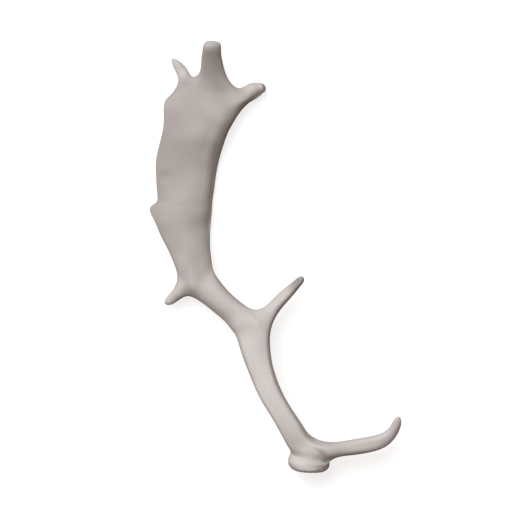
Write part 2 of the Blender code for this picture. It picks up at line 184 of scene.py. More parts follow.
def round_places(columns: int) -> dict[Key, tuple[float, float]]:
    """Give each vertex of a patch its place in a round section.

    Args:
        columns: The number of faces across the patch, which is two faces high.

    Returns:
        For each vertex how far it is across and how far up, both from -1 to 1. The rim goes round the
        section, and the vertices inside the patch lie on the line between the edges.
    """
    rim = [(0, 1)]
    rim += [(column, 2) for column in range(columns + 1)]
    rim += [(columns, 1)]
    rim += [(column, 0) for column in range(columns, -1, -1)]
    places = {}
    for index, key in enumerate(rim):
        angle = tau * index / len(rim)
        places[key] = (-cos(angle), sin(angle))
    for column in range(1, columns):
        places[column, 1] = (2 * column / columns - 1, 0.0)
    return places


class Cage:
    """The coarse cage of the whole antler, with what each vertex needs for its finish."""

    def __init__(self) -> None:
        """Start an empty cage."""
        self.mesh = bmesh.new()
        layers = self.mesh.verts.layers
        self.grain = layers.float_vector.new("grain")
        self.palm_tone_and_tip_shade = layers.float.new("palm_tone_and_tip_shade")
        self.tip_share = layers.float.new("tip_share")

    def start(self, section: Section, along: Vector, columns: int) -> Patch:
        """Make the first patch, the underside of the burr, from a flat grid.

        Args:
            section: The section that the patch fills.
            along: The direction of the stem here.
            columns: The number of faces across.

        Returns:
            The patch.
        """
        size = 0.5
        grid = bmesh.ops.create_grid(self.mesh, x_segments=columns, y_segments=2, size=size)
        patch = {}
        for vert in grid["verts"]:
            column = round((vert.co.x + size) * columns)
            patch[column, round((vert.co.y + size) * 2)] = vert
        for key, point in section.points(along, columns).items():
            patch[key].co = point
        return patch

    def faces(self, patch: Patch) -> list[bmesh.types.BMFace]:
        """Find the faces between the vertices of a patch.

        Args:
            patch: The patch.

        Returns:
            Its faces.
        """
        columns = max(column for column, _ in patch)
        found = []
        for column in range(columns):
            for row in range(2):
                corners = [
                    patch[column, row],
                    patch[column + 1, row],
                    patch[column + 1, row + 1],
                    patch[column, row + 1],
                ]
                found.append(self.mesh.faces.get(corners))
        return found

    def grow(self, patch: Patch, points: dict[Key, Vector]) -> Patch:
        """Extrude a patch and put its new vertices on the given points.

        Args:
            patch: The patch to extrude.
            points: The place of each new vertex.

        Returns:
            The new patch.
        """
        keys = {vert.co.to_tuple(): key for key, vert in patch.items()}
        faces = self.faces(patch)
        edges = {edge for face in faces for edge in face.edges}
        grown = bmesh.ops.extrude_face_region(self.mesh, geom=faces + list(edges))["geom"]
        new_patch = {}
        for item in grown:
            if isinstance(item, bmesh.types.BMVert):
                new_patch[keys[item.co.to_tuple()]] = item
        for key, vert in new_patch.items():
            vert.co = points[key]
        return new_patch

    def mark(self, patch: Patch, distance: float, radius: float, palm: float, tip: float) -> None:
        """Tell the vertices of a patch where they are on their limb, for the bone's grain and colour.

        Args:
            patch: The patch.
            distance: How far along the limb it is, in millimetres.
            radius: The limb's radius there, in millimetres.
            palm: How much of the palm's colour it has, from 0 to 1; near the trez tine's tip it also
                carries painted shade.
            tip: How near it is to the limb's tip, from 0 to 1.
        """
        columns = max(column for column, _ in patch)
        for key, (across, rise) in round_places(columns).items():
            vert = patch[key]
            vert[self.grain] = Vector((across * radius, rise * radius, distance))
            vert[self.palm_tone_and_tip_shade] = palm
            vert[self.tip_share] = tip

    def fit(self, rounds: int) -> None:
        """Push the cage outwards until its smooth surface passes through the sections as drawn.

        Args:
            rounds: The number of passes.
        """
        drawn = {vert: vert.co.copy() for vert in self.mesh.verts}
        for _ in range(rounds):
            limits = {vert: smooth_place(vert) for vert in self.mesh.verts}
            for vert, limit in limits.items():
                vert.co += drawn[vert] - limit


def smooth_place(vert: bmesh.types.BMVert) -> Vector:
    """Give the point where the smooth surface passes a vertex of a cage of four-sided faces.

    Args:
        vert: The cage's vertex.

    Returns:
        The point on the surface.
    """
    count = len(vert.link_edges)
    near = sum((edge.other_vert(vert).co for edge in vert.link_edges), Vector())
    far = Vector()
    for loop in vert.link_loops:
        far += loop.link_loop_next.link_loop_next.vert.co
    # The weights that endless subdivision gives the vertex, its neighbours and the far corners
    return (vert.co * count * count + near * 4 + far) / (count * (count + 5))


@dataclass
class Limb:
    """A limb of the antler: sections that a patch is extruded through, and its tip."""

    name: str
    sections: tuple[Section, ...]
    tip: Place | None = None
    palm: float = 0.0           # how far it has the palm's darker tone
    worn: float = 1.0           # how pale the tip is rubbed
    painted_tip_shade: float = 0.0        # painted shade: how much darker the tip is coloured than the root, where it turns away from the light

    def root(self, stem: list[Patch]) -> Patch:
        """Take the patch of the stem that the limb grows from."""
        raise NotImplementedError

    def grow(self, cage: Cage, stem: list[Patch]) -> None:
        """Extrude the limb from the stem.

        Args:
            cage: The antler's cage.
            stem: The stem's patches, in order.
        """
        patch = self.root(stem)
        columns = max(column for column, _ in patch)
        middles = [sum((vert.co for vert in patch.values()), Vector()) / len(patch)]
        middles += [section.middle() for section in self.sections]
        middles.append(Vector(self.tip) if self.tip else middles[-1])
        distance = sum(vert[cage.grain].z for vert in patch.values()) / len(patch)
        for index, section in enumerate(self.sections, start=1):
            along = middles[index + 1] - middles[index - 1]
            distance += (middles[index] - middles[index - 1]).length
            patch = cage.grow(patch, section.points(along, columns))
            late = (index / len(self.sections)) ** 3        # most of a change comes near the tip
            # Painted shade: towards the tip more of the palm's darker tone is added, for the shade
            # where the tine turns from the light
            palm = self.palm + self.painted_tip_shade * late
            cage.mark(patch, distance, section.thick / 2, palm, self.worn * late)
        if self.tip:
            patch[1, 1].co = self.tip
        LOG.info("%s: %d sections", self.name, len(self.sections))


@dataclass
class SideTine(Limb):
    """A tine that leaves one side of the stem."""

    ring: int = 0
    side: Side = Side.RIGHT

    def root(self, stem: list[Patch]) -> Patch:
        """Take the two faces by two on the stem's side, around the tine's own ring.

        The stem's left side is column 0 of its patches. The tine's own column 0 is on its left, looking
        outwards, so on the right side it starts with the ring farther along the stem.

        Args:
            stem: The stem's patches, in order.

        Returns:
            The patch.
        """
        step = 1 if self.side is Side.LEFT else -1
        patch = {}
        for offset in (-1, 0, 1):
            for row in range(3):
                patch[1 + offset, row] = stem[self.ring + step * offset][self.side.value, row]
        return patch


@dataclass
class CrownPoint(Limb):
    """A point that leaves the end of the palm."""

    first_column: int = 0
    last_column: int = 1

    def root(self, stem: list[Patch]) -> Patch:
        """Take this point's columns of the palm's end.

        Args:
            stem: The stem's patches, in order.

        Returns:
            The patch.
        """
        patch = {}
        for column in range(self.first_column, self.last_column + 1):
            for row in range(3):
                patch[column - self.first_column, row] = stem[-1][column, row]
        return patch


@dataclass
class Burr:
    """The swollen ring at the base, with the face where the antler was cast from the skull."""

    sections: tuple[Section, ...] = (
        Section((20.5, -294.3, 27.4), (72.0, -296.3, 25.4), 45.7),
        Section((17.5, -288.0, 29.1), (75.0, -290.0, 27.1), 49.2),
        Section((17.8, -281.0, 29.5), (76.0, -284.5, 29.0), 48.0, None, 0.1),
        Section((20.5, -273.0, 31.5), (68.0, -269.5, 36.0), 37.5, None, 0.25, 0.15),
        Section((17.0, -264.5, 35.5), (49.0, -253.0, 42.5), 30.0, None, 0.1, 0.5),
    )
    palm_shares: tuple[float, ...] = (0.4, 0.4, 0.3, 0.0, 0.0)      # how far each has the palm's tone
    face: Place = (46.2, -295.7, 24.7)
    face_out: Place = (-0.05, -0.93, -0.365)
    bulge: float = 4.0
    pearl_height: float = 0.5
    pearl_reach: float = 34.0
    pearl_end: float = 1.3          # they fade out over the last reach before this many reaches

    def fill(self, patch: Patch) -> None:
        """Swell the middle of the first patch, so that the cast face is full before it is flattened.

        Args:
            patch: The burr's first patch.
        """
        for column in range(1, STEM_COLUMNS):
            patch[column, 1].co += Vector(self.face_out) * self.bulge

    def flatten(self, points: np.ndarray) -> np.ndarray:
        """Press what stands out of the cast face back onto it.

        Args:
            points: Points in millimetres, one in a row, which are moved.

        Returns:
            True for each point that lies on the cast face.
        """
        out = np.array(self.face_out)
        out /= np.linalg.norm(out)
        beyond = (points - np.array(self.face)) @ out
        points -= np.clip(beyond, 0.0, None)[:, None] * out
        return beyond > 0.0


@dataclass
class Beam:
    """The main beam, from the burr to the foot of the palm."""

    sections: tuple[Section, ...] = (
        Section((8.0, -248.0, 41.0), (36.0, -234.0, 47.0), 28.0, 45.0, 0.05, 0.55),
        Section((-4.5, -226.0, 43.0), (21.5, -212.0, 46.5), 27.5, 46.5, 0.0, 0.6),
        Section((-18.5, -203.5, 41.7), (8.0, -188.0, 45.2), 27.5, 45.5, 0.0, 0.6),
        Section((-31.0, -178.0, 38.2), (-0.5, -166.5, 41.5), 28.0, 42.2, 0.0, 0.6),
        Section((-42.0, -151.5, 35.2), (-5.5, -146.0, 37.5), 29.5, 38.5, 0.0, 0.6),
        Section((-50.0, -128.5, 33.8), (-8.0, -125.0, 35.8), 31.5, 36.2, 0.0, 0.55),
        Section((-55.5, -111.5, 33.0), (-7.5, -104.0, 35.0), 33.5, None, 0.1, 0.4),
        Section((-62.0, -102.0, 31.7), (-17.0, -87.0, 33.2), 34.0, None, 0.15, 0.2),
        Section((-70.5, -91.5, 29.5), (-30.5, -74.0, 31.0), 34.0, None, 0.1, 0.15),
        Section((-84.5, -79.0, 26.0), (-50.0, -63.0, 31.5), 33.5, None, 0.1, 0.15),
        Section((-99.5, -67.0, 22.0), (-69.0, -46.0, 30.0), 32.5, None, 0.1, 0.1),
        Section((-118.0, -55.5, 18.0), (-82.0, -29.5, 27.5), 30.5, None, 0.1, 0.1),
        Section((-129.0, -43.0, 22.5), (-87.5, -18.0, 23.5), 27.5, None, -0.15, 0.1),
        Section((-138.0, -27.5, 22.0), (-90.0, -5.5, 20.5), 24.5, 21.0, 0.0, 0.1),
    )
    palm_shares: tuple[float, ...] = (
        0.0, 0.0, 0.0, 0.0, 0.0, 0.0, 0.1, 0.2, 0.3, 0.35, 0.45, 0.65, 0.85, 1.0,
    )


@dataclass
class Palm:
    """The flattened blade, and the bent last ring that the three crown points grow from."""

    sections: tuple[Section, ...] = (
        Section((-143.0, -9.0, 18.5), (-92.0, 11.0, 17.0), 22.0, 20.8, 0.1),
        Section((-151.0, 10.0, 15.5), (-92.5, 26.0, 13.5), 20.5, 20.4, 0.2),
        Section((-160.0, 27.0, 12.5), (-91.5, 39.0, 12.5), 19.5, 19.6, 0.3),
        Section((-168.0, 45.0, 9.5), (-90.5, 51.5, 12.5), 17.5, 18.6, 0.35),
        Section((-173.2, 56.5, 6.5), (-90.0, 61.0, 12.5), 17.0, 17.6, 0.4),
        Section((-177.0, 66.2, 4.2), (-89.5, 69.0, 12.3), 16.5, 16.9, 0.4),
        Section((-172.8, 73.2, 3.4), (-89.0, 76.5, 12.0), 16.3, 16.6, 0.4),
        Section((-166.2, 79.5, 3.0), (-88.0, 85.0, 11.7), 16.0, 16.3, 0.4),
        Section((-167.0, 96.0, 3.3), (-86.0, 98.0, 11.2), 16.0, 15.6, 0.4),
        Section((-168.0, 113.0, 6.0), (-84.0, 113.5, 10.5), 16.0, 15.2, 0.4),
        Section((-168.5, 130.0, 8.0), (-81.0, 130.0, 11.0), 16.5, 15.2, 0.4),
        Section((-166.0, 146.0, 10.5), (-76.5, 146.0, 13.0), 17.0, 16.8, 0.4),
        Section((-162.0, 162.0, 14.5), (-71.0, 163.5, 16.5), 18.0, 18.6, 0.4),
        Section((-158.0, 180.0, 18.5), (-63.5, 181.0, 18.5), 19.0, 19.0, 0.4),
        Section((-157.0, 199.5, 18.5), (-53.5, 197.5, 19.0), 19.5, 18.8, 0.4),
        Section((-155.2, 218.5, 16.0), (-45.0, 208.5, 18.0), 19.5, 18.4, 0.4),
    )
    end: tuple[Place, ...] = (
        (-145.0, 229.5, 9.5),
        (-116.5, 252.2, 17.0),
        (-86.0, 236.0, 22.0),
        (-53.6, 236.5, 17.0),
        (-36.5, 216.5, 15.5),
    )
    end_thick: float = 13.0
    end_edges: tuple[float, float] = (0.8, 1.5)         # shares of it at the two outer corners
    end_crotch: float = 0.9                             # share of it between them
    corner_tucks: tuple[float, float] = (0.3, 0.15)     # how far the corners' faces go inwards
    crotch_tuck: float = 8.0                            # how far the crotches' faces are drawn back
    foot_shares: tuple[float, ...] = (0.8, 0.95)        # how far its foot has the palm's tone

    def end_points(self) -> dict[Key, Vector]:
        """Place the palm's last vertices over the roots of the points.

        Returns:
            The place of each vertex.
        """
        last = len(self.end) - 1
        points = {}
        for column, place in enumerate(self.end):
            share = {0: self.end_edges[0], last: self.end_edges[1]}.get(column, self.end_crotch)
            rise = Vector((0.0, 0.0, self.end_thick / 2 * share))
            for row in range(3):
                points[column, row] = Vector(place) + rise * (row - 1)
        for column, neighbour, tuck in zip((0, last), (1, last - 1), self.corner_tucks):
            for row in (0, 2):
                inwards = points[neighbour, row] - points[column, row]
                points[column, row] += inwards * tuck
        for column in (1, last - 1):
            for row in (0, 2):
                points[column, row].y -= self.crotch_tuck
        return points


def side_tines() -> list[SideTine]:
    """Draw the three tines that leave the stem's sides.

    Returns:
        The brow, the trez and the back tine.
    """
    brow = SideTine(
        "brow_tine",
        (
            Section((67.5, -259.5, 42.0), (83.0, -280.5, 34.0), 28.0, None, 0.0, 0.4),
            Section((97.0, -257.0, 35.5), (100.0, -278.0, 34.5), 23.5, None, 0.0, 0.4),
            Section((123.5, -252.5, 34.0), (127.0, -274.5, 33.5), 20.5, None, 0.0, 0.4),
            Section((146.0, -247.5, 36.5), (153.0, -265.5, 32.5), 17.0, None, 0.0, 0.3),
            Section((158.0, -239.0, 42.0), (168.5, -249.5, 36.0), 12.5),
            Section((165.0, -228.0, 47.5), (175.0, -233.5, 42.0), 9.0),
        ),
        (172.0, -222.5, 48.0),
        palm=0.3,
        ring=3,
        side=Side.RIGHT,
    )
    trez = SideTine(
        "trez_tine",
        (
            Section((-14.5, -68.5, 28.5), (1.0, -82.5, 30.5), 21.5, None, 0.1, 0.1),
            Section((2.5, -52.5, 29.5), (14.0, -65.0, 31.5), 17.0, None, 0.2, 0.2),
            Section((16.5, -40.5, 31.5), (25.5, -52.0, 32.5), 14.5, None, 0.2, 0.2),
            Section((25.0, -33.5, 42.0), (33.0, -42.5, 42.0), 11.5, None, 0.3, 0.3),
            Section((31.5, -28.5, 54.5), (38.0, -35.5, 53.5), 8.5, None, 0.3, 0.3),
        ),
        (36.8, -27.5, 58.5),
        palm=0.2,
        worn=0.0,
        # its last quarter is painted darker, as shade where the tip turns away from the light
        painted_tip_shade=0.8,
        ring=12,
        side=Side.RIGHT,
    )
    back = SideTine(
        "back_tine",
        (
            Section((-128.5, -56.0, 18.5), (-142.0, -42.5, 24.0), 18.0),
            Section((-137.5, -61.5, 17.5), (-149.5, -52.5, 20.0), 12.0),
            Section((-145.5, -66.5, 18.0), (-155.0, -59.5, 19.0), 8.0),
        ),
        (-155.0, -66.8, 18.5),
        palm=0.2,
        ring=17,
        side=Side.LEFT,
    )
    return [brow, trez, back]


def crown_points() -> list[CrownPoint]:
    """Draw the three points that leave the end of the palm.

    Returns:
        The rear, the top and the front point.
    """
    rear = CrownPoint(
        "rear_point",
        (
            Section((-136.6, 247.0, 15.0), (-122.0, 258.5, 15.0), 12.0, None, 0.2),
            Section((-141.0, 260.5, 13.5), (-128.6, 268.3, 13.0), 9.0, None, 0.2),
            Section((-146.0, 274.5, 11.0), (-140.5, 277.0, 12.0), 5.0),
        ),
        palm=0.35,
        first_column=0,
        last_column=1,
    )
    top = CrownPoint(
        "top_point",
        (
            Section((-107.0, 258.0, 24.0), (-67.5, 251.0, 20.5), 15.5),
            Section((-104.5, 273.5, 33.5), (-74.0, 270.5, 29.5), 14.0),
            Section((-103.0, 285.0, 41.5), (-76.5, 283.0, 36.5), 13.5),
            Section((-101.5, 294.3, 46.5), (-77.0, 295.8, 43.0), 13.0),
            Section((-98.0, 299.8, 44.0), (-80.0, 299.3, 41.5), 5.5),
        ),
        (-88.5, 299.2, 41.0),
        palm=0.9,
        first_column=1,
        last_column=3,
    )
    front = CrownPoint(
        "front_point",
        (
            Section((-38.0, 242.4, 16.5), (-25.5, 222.5, 14.5), 18.5, None, 0.1),
            Section((-27.0, 243.4, 14.0), (-18.0, 229.8, 14.0), 17.0, None, 0.1),
            Section((-18.8, 242.8, 16.0), (-15.2, 232.8, 16.5), 12.5),
        ),
        palm=0.35,
        first_column=3,
        last_column=4,
    )
    return [rear, top, front]


# The palm's broad lumps, its grooves and the ridges inside its rims
PALM_RELIEFS = (
    Relief((-79.0, 194.0), 24.0, 18.0, -35.0, 7.0),
    Relief((-105.0, 168.0), 21.0, 19.0, -45.0, 4.8),
    Relief((-138.0, 165.0), 22.0, 12.0, 8.0, 0.8),
    Relief((-131.0, 111.0), 26.0, 12.0, 88.0, -2.2),
    Relief((-104.0, 137.0), 15.0, 11.0, -45.0, 1.8),
    Relief((-155.0, 111.0), 9.0, 9.0, 0.0, -2.0),
    Relief((-150.0, 208.0), 18.0, 18.0, 0.0, 2.2),
    Relief((-83.0, 80.0), 75.0, 12.0, 86.0, -4.5),
    Relief((-81.0, 172.0), 38.0, 9.0, 70.0, 2.6),
    Relief((-94.0, 120.0), 38.0, 8.0, 84.0, 1.3),
    Relief((-98.0, 42.0), 27.0, 15.0, 8.0, -5.0),
)

# The knob on the palm's rear edge and the rim below it
KNOB_RELIEFS = (
    Relief((-156.0, 20.0), 28.0, 10.0, -70.0, 3.0),
    Relief((-159.0, 50.0), 14.0, 14.0, 0.0, 3.0),
    Relief((-182.0, 78.0), 10.0, 10.0, 0.0, -3.5),
    Relief((-148.0, 72.5), 16.0, 6.0, 0.0, -1.0),
    Relief((-150.0, 83.5), 16.0, 6.5, 0.0, 0.9),
    Relief((-153.0, 80.0), 10.0, 10.0, 0.0, 1.5),
)

# The palm's two upper corners and the roots of the points
CROWN_RELIEFS = (
    Relief((-34.0, 205.0), 22.0, 11.0, 50.0, -6.0),
    Relief((-24.0, 218.0), 14.0, 9.0, 40.0, -7.0),
    Relief((-47.0, 197.0), 14.0, 9.0, 60.0, -2.5),
    Relief((-45.0, 219.0), 12.0, 10.0, 0.0, 4.0),
    Relief((-23.0, 234.0), 9.0, 9.0, 0.0, 3.2, Face.LOWER),
    Relief((-152.0, 239.0), 14.0, 8.0, 48.0, -5.5),
    Relief((-128.0, 263.0), 8.0, 8.0, 0.0, -1.6),
    Relief((-93.0, 230.0), 14.0, 12.0, 0.0, -1.6),
    Relief((-76.0, 231.0), 16.0, 10.0, -40.0, -3.8),
)

# The neck, with the roots of the back and trez tines
NECK_RELIEFS = (
    Relief((-131.0, -28.0), 9.0, 9.0, 0.0, -1.6),
    Relief((-108.0, -5.0), 14.0, 14.0, 0.0, -1.5),
    Relief((-98.0, -28.0), 14.0, 12.0, -45.0, -2.4),
    Relief((-130.0, -44.0), 8.0, 8.0, 0.0, 1.5),
    Relief((-116.0, -46.0), 9.0, 9.0, 0.0, 2.5),
    Relief((-84.0, -86.0), 26.0, 8.0, -42.0, -4.0),
    Relief((-55.0, -98.0), 14.0, 11.0, 45.0, 1.8),
    Relief((-20.0, -88.0), 12.0, 10.0, -45.0, 2.4),
)

# The burr's collar and groove, and the brow tine
BURR_RELIEFS = (
    Relief((40.0, -272.0), 24.0, 6.0, -5.0, 1.2),
    Relief((62.0, -283.0), 12.0, 5.0, 8.0, -2.2),
    Relief((75.0, -285.0), 9.0, 4.0, 8.0, -7.5),
    Relief((68.0, -266.0), 20.0, 10.0, -12.0, 4.0),
    Relief((76.0, -279.5), 8.0, 7.0, 0.0, 1.8),
    Relief((90.0, -273.0), 24.0, 6.0, 5.0, 1.2),
    Relief((149.0, -252.0), 8.0, 8.0, 0.0, 1.2),
)

RELIEFS = PALM_RELIEFS + KNOB_RELIEFS + CROWN_RELIEFS + NECK_RELIEFS + BURR_RELIEFS


class NodeSheet:
    """Adds and joins the nodes of one node tree."""

    def __init__(self, tree: bpy.types.NodeTree) -> None:
        """Take a node tree.

        Args:
            tree: The tree of a material, a world or a group.
        """
        self.tree = tree

    def add(self, kind: str, inputs: dict | None = None, **settings: object) -> bpy.types.Node:
        """Add a node.

        Args:
            kind: The node's type.
            inputs: For each input, a value or the output that feeds it.
            **settings: The node's own settings.

        Returns:
            The node.
        """
        node = self.tree.nodes.new(kind)
        for name, value in settings.items():
            setattr(node, name, value)
        for name, value in (inputs or {}).items():
            if isinstance(value, bpy.types.NodeSocket):
                self.tree.links.new(value, node.inputs[name])
            else:
                node.inputs[name].default_value = value
        return node

    def link(self, output: bpy.types.NodeSocket, socket: bpy.types.NodeSocket) -> None:
        """Feed an input from an output."""
        self.tree.links.new(output, socket)

    def blend(self, factor: Feed, low: Feed, high: Feed) -> bpy.types.NodeSocket:
        """Mix two colours.

        Args:
            factor: The share of the second colour.
            low: The first colour.
            high: The second colour.

        Returns:
            The mixed colour's output.
        """
        mix = self.add("ShaderNodeMix", data_type="RGBA")
        # The places of the factor and of the two colours among the node's inputs
        for place, value in ((0, factor), (6, low), (7, high)):
            if isinstance(value, bpy.types.NodeSocket):
                self.tree.links.new(value, mix.inputs[place])
            elif isinstance(value, tuple):
                mix.inputs[place].default_value = (*value, 1.0)
            else:
                mix.inputs[place].default_value = value
        return mix.outputs[2]

    def span(
        self, value: Feed, low: float, high: float, to: tuple[float, float] = (0.0, 1.0)
    ) -> bpy.types.NodeSocket:
        """Map a value from one range to another, held at both ends.

        Args:
            value: The output to map.
            low: The value that gives the first number.
            high: The value that gives the second number.
            to: The two numbers.

        Returns:
            The mapped value's output.
        """
        wanted = {"Value": value, "From Min": low, "From Max": high, "To Min": to[0], "To Max": to[1]}
        return self.add("ShaderNodeMapRange", wanted).outputs["Result"]

    def combine(self, first: Feed, second: Feed, operation: str) -> bpy.types.NodeSocket:
        """Join two values by arithmetic.

        Args:
            first: The first value or output.
            second: The second value or output.
            operation: What is done with them.

        Returns:
            The result's output.
        """
        return self.add("ShaderNodeMath", {0: first, 1: second}, operation=operation).outputs[0]

    def relief(self, height: Feed, strength: float, distance: float) -> bpy.types.NodeSocket:
        """Turn a height into a bumpy normal.

        Args:
            height: The height, from 0 to 1.
            strength: How much of it shows.
            distance: How high 1 is, in metres.

        Returns:
            The normal's output.
        """
        wanted = {"Height": height, "Strength": strength, "Distance": distance}
        return self.add("ShaderNodeBump", wanted).outputs["Normal"]


def new_material(name: str) -> tuple[bpy.types.Material, NodeSheet, bpy.types.Node]:
    """Start a material.

    Args:
        name: The material's name.

    Returns:
        The material, its node sheet and its shader.
    """
    material = bpy.data.materials.new(name)
    material.use_nodes = True
    return material, NodeSheet(material.node_tree), material.node_tree.nodes["Principled BSDF"]


def new_group(
    name: str, inputs: dict[str, str], outputs: dict[str, str]
) -> tuple[bpy.types.NodeTree, NodeSheet, bpy.types.Node, bpy.types.Node]:
    """Start a shader node group.

    Args:
        name: The group's name.
        inputs: Each input's socket type.
        outputs: Each output's socket type.

    Returns:
        The group, its node sheet, its input node and its output node.
    """
    group = bpy.data.node_groups.new(name, "ShaderNodeTree")
    for sockets, way in ((inputs, "INPUT"), (outputs, "OUTPUT")):
        for label, kind in sockets.items():
            group.interface.new_socket(label, in_out=way, socket_type=kind)
    sheet = NodeSheet(group)
    return group, sheet, sheet.add("NodeGroupInput"), sheet.add("NodeGroupOutput")


def bone_grain_group() -> bpy.types.NodeTree:
    """Make the fine grain that runs along each limb of an antler.

    Returns:
        A group that turns the limb's own coordinates into a fine grain and broad streaks, both from 0
        to 1.
    """
    group, sheet, given, result = new_group(
        "bone_grain",
        {"Along Limb": "NodeSocketVector"},
        {"Grain": "NodeSocketFloat", "Streaks": "NodeSocketFloat"},
    )
    squeeze = (1.0, 1.0, 0.11)      # draws the grain out along the limb
    squeezed = sheet.add(
        "ShaderNodeVectorMath",
        {0: given.outputs["Along Limb"], 1: squeeze},
        operation="MULTIPLY",
    ).outputs[0]
    fine = sheet.add(
        "ShaderNodeTexNoise",
        {"Vector": squeezed, "Scale": 0.55, "Detail": 3.0, "Roughness": 0.6, "Distortion": 0.3},
    ).outputs["Fac"]
    broad = sheet.add(
        "ShaderNodeTexNoise",
        {"Vector": squeezed, "Scale": 0.14, "Detail": 2.0, "Roughness": 0.5, "Distortion": 0.4},
    ).outputs["Fac"]
    sheet.link(sheet.span(fine, *NOISE_RANGE), result.inputs["Grain"])
    sheet.link(sheet.span(broad, *NOISE_RANGE), result.inputs["Streaks"])
    return group


def bone_mottle_group() -> bpy.types.NodeTree:
    """Make the cloudy tone and the fine pores of bone.

    Returns:
        A group that gives soft clouds and sparse pores, both from 0 to 1.
    """
    group, sheet, _, result = new_group(
        "bone_mottle",
        {},
        {"Clouds": "NodeSocketFloat", "Pores": "NodeSocketFloat"},
    )
    place = sheet.add("ShaderNodeTexCoord").outputs["Object"]
    clouds = sheet.add(
        "ShaderNodeTexNoise",
        {"Vector": place, "Scale": 26.0, "Detail": 4.0, "Roughness": 0.55, "Distortion": 0.2},
    ).outputs["Fac"]
    pores = sheet.add(
        "ShaderNodeTexVoronoi",
        {"Vector": place, "Scale": 520.0, "Randomness": 1.0},
        feature="F1",
    ).outputs["Distance"]
    patches = sheet.add(
        "ShaderNodeTexNoise",
        {"Vector": place, "Scale": 60.0, "Detail": 2.0, "Roughness": 0.5},
    ).outputs["Fac"]
    dots = sheet.combine(sheet.span(pores, 0.22, 0.08), sheet.span(patches, 0.5, 0.65), "MULTIPLY")
    sheet.link(sheet.span(clouds, *NOISE_RANGE), result.inputs["Clouds"])
    sheet.link(dots, result.inputs["Pores"])
    return group


@dataclass(frozen=True)
class BoneFinish:
    """The smooth, matte, pale grey bone of the antler's outside."""

    name: str = "antler_bone"
    beam_tone: Colour = (0.698, 0.689, 0.679)
    palm_tone: Colour = (0.461, 0.439, 0.428)
    cloud_tone: Colour = (0.50, 0.45, 0.41)
    # darkens the pores, and the creases partly as stain and partly as painted shade
    pore_and_crease_shade_tone: Colour = (0.26, 0.20, 0.165)
    tip_tone: Colour = (0.65, 0.632, 0.61)
    roughness: float = 0.56
    tip_roughness: float = 0.46
    specular: float = 0.35
    tip_amount: float = 0.8         # how far each of these changes the tone
    cloud_amount: float = 0.16
    streak_amount: float = 0.12
    pore_amount: float = 0.25
    painted_crease_shade_amount: float = 0.12
    grain_gloss: float = 0.03       # how far the grain changes the roughness
    bump: float = 0.25
    bump_height: float = 0.0002     # in metres

    def material(self, groups: dict[str, bpy.types.NodeTree]) -> bpy.types.Material:
        """Make the material.

        Args:
            groups: The shared node groups.

        Returns:
            The material.
        """
        made, sheet, shader = new_material(self.name)

        along = sheet.add("ShaderNodeAttribute", attribute_name="grain").outputs["Vector"]
        palm = sheet.add("ShaderNodeAttribute", attribute_name="palm_tone_and_tip_shade").outputs["Fac"]
        tip = sheet.add("ShaderNodeAttribute", attribute_name="tip_share").outputs["Fac"]
        hollow = sheet.add("ShaderNodeAttribute", attribute_name="hollow").outputs["Fac"]
        grain = sheet.add("ShaderNodeGroup", node_tree=groups["grain"])
        sheet.link(along, grain.inputs["Along Limb"])
        mottle = sheet.add("ShaderNodeGroup", node_tree=groups["mottle"])

        # The palm's darker tone, which near the trez tine's tip is painted shade
        tone = sheet.blend(palm, self.beam_tone, self.palm_tone)
        layers = (
            (tip, 0.5, self.tip_amount, self.tip_tone),
            (mottle.outputs["Clouds"], 0.0, self.cloud_amount, self.cloud_tone),
            (grain.outputs["Streaks"], 0.45, self.streak_amount, self.cloud_tone),
            (mottle.outputs["Pores"], 0.0, self.pore_amount, self.pore_and_crease_shade_tone),
            # Darker in the creases: partly the stain that gathers in an antler's grooves, partly
            # painted shade
            (hollow, 0.1, self.painted_crease_shade_amount, self.pore_and_crease_shade_tone),
        )
        for mask, low, amount, colour in layers:
            tone = sheet.blend(sheet.span(mask, low, 1.0, (0.0, amount)), tone, colour)
        sheet.link(tone, shader.inputs["Base Color"])

        rough = sheet.span(tip, 0.2, 1.0, (self.roughness, self.tip_roughness))
        gloss = sheet.span(grain.outputs["Grain"], 0.0, 1.0, (-self.grain_gloss, self.grain_gloss))
        sheet.link(sheet.combine(rough, gloss, "ADD"), shader.inputs["Roughness"])
        shader.inputs["Specular IOR Level"].default_value = self.specular

        height = sheet.combine(grain.outputs["Grain"], mottle.outputs["Pores"], "SUBTRACT")
        sheet.link(sheet.relief(height, self.bump, self.bump_height), shader.inputs["Normal"])
        return made


@dataclass(frozen=True)
class CastFaceFinish:
    """The rougher, open-pored bone of the face where the antler was cast."""

    name: str = "cast_face_bone"
    tone: Colour = (0.50, 0.455, 0.415)
    pore_tone: Colour = (0.17, 0.13, 0.105)
    roughness: float = 0.8
    specular: float = 0.25
    cells: float = 420.0                                # pores to a metre
    pore_shade: tuple[float, float] = (0.3, 0.8)        # how dark they are, from cloud to cloud
    bump: float = 0.6
    bump_height: float = 0.0006                         # in metres

    def material(self, groups: dict[str, bpy.types.NodeTree]) -> bpy.types.Material:
        """Make the material.

        Args:
            groups: The shared node groups.

        Returns:
            The material.
        """
        made, sheet, shader = new_material(self.name)
        place = sheet.add("ShaderNodeTexCoord").outputs["Object"]
        cells = sheet.add(
            "ShaderNodeTexVoronoi",
            {"Vector": place, "Scale": self.cells, "Randomness": 1.0},
            feature="F1",
        ).outputs["Distance"]
        mottle = sheet.add("ShaderNodeGroup", node_tree=groups["mottle"])
        open_pores = sheet.span(cells, 0.45, 0.12)
        depth = sheet.span(mottle.outputs["Clouds"], 0.0, 1.0, self.pore_shade)
        shade = sheet.combine(open_pores, depth, "MULTIPLY")
        sheet.link(sheet.blend(shade, self.tone, self.pore_tone), shader.inputs["Base Color"])
        shader.inputs["Roughness"].default_value = self.roughness
        shader.inputs["Specular IOR Level"].default_value = self.specular
        height = sheet.combine(1.0, open_pores, "SUBTRACT")
        sheet.link(sheet.relief(height, self.bump, self.bump_height), shader.inputs["Normal"])
        return made


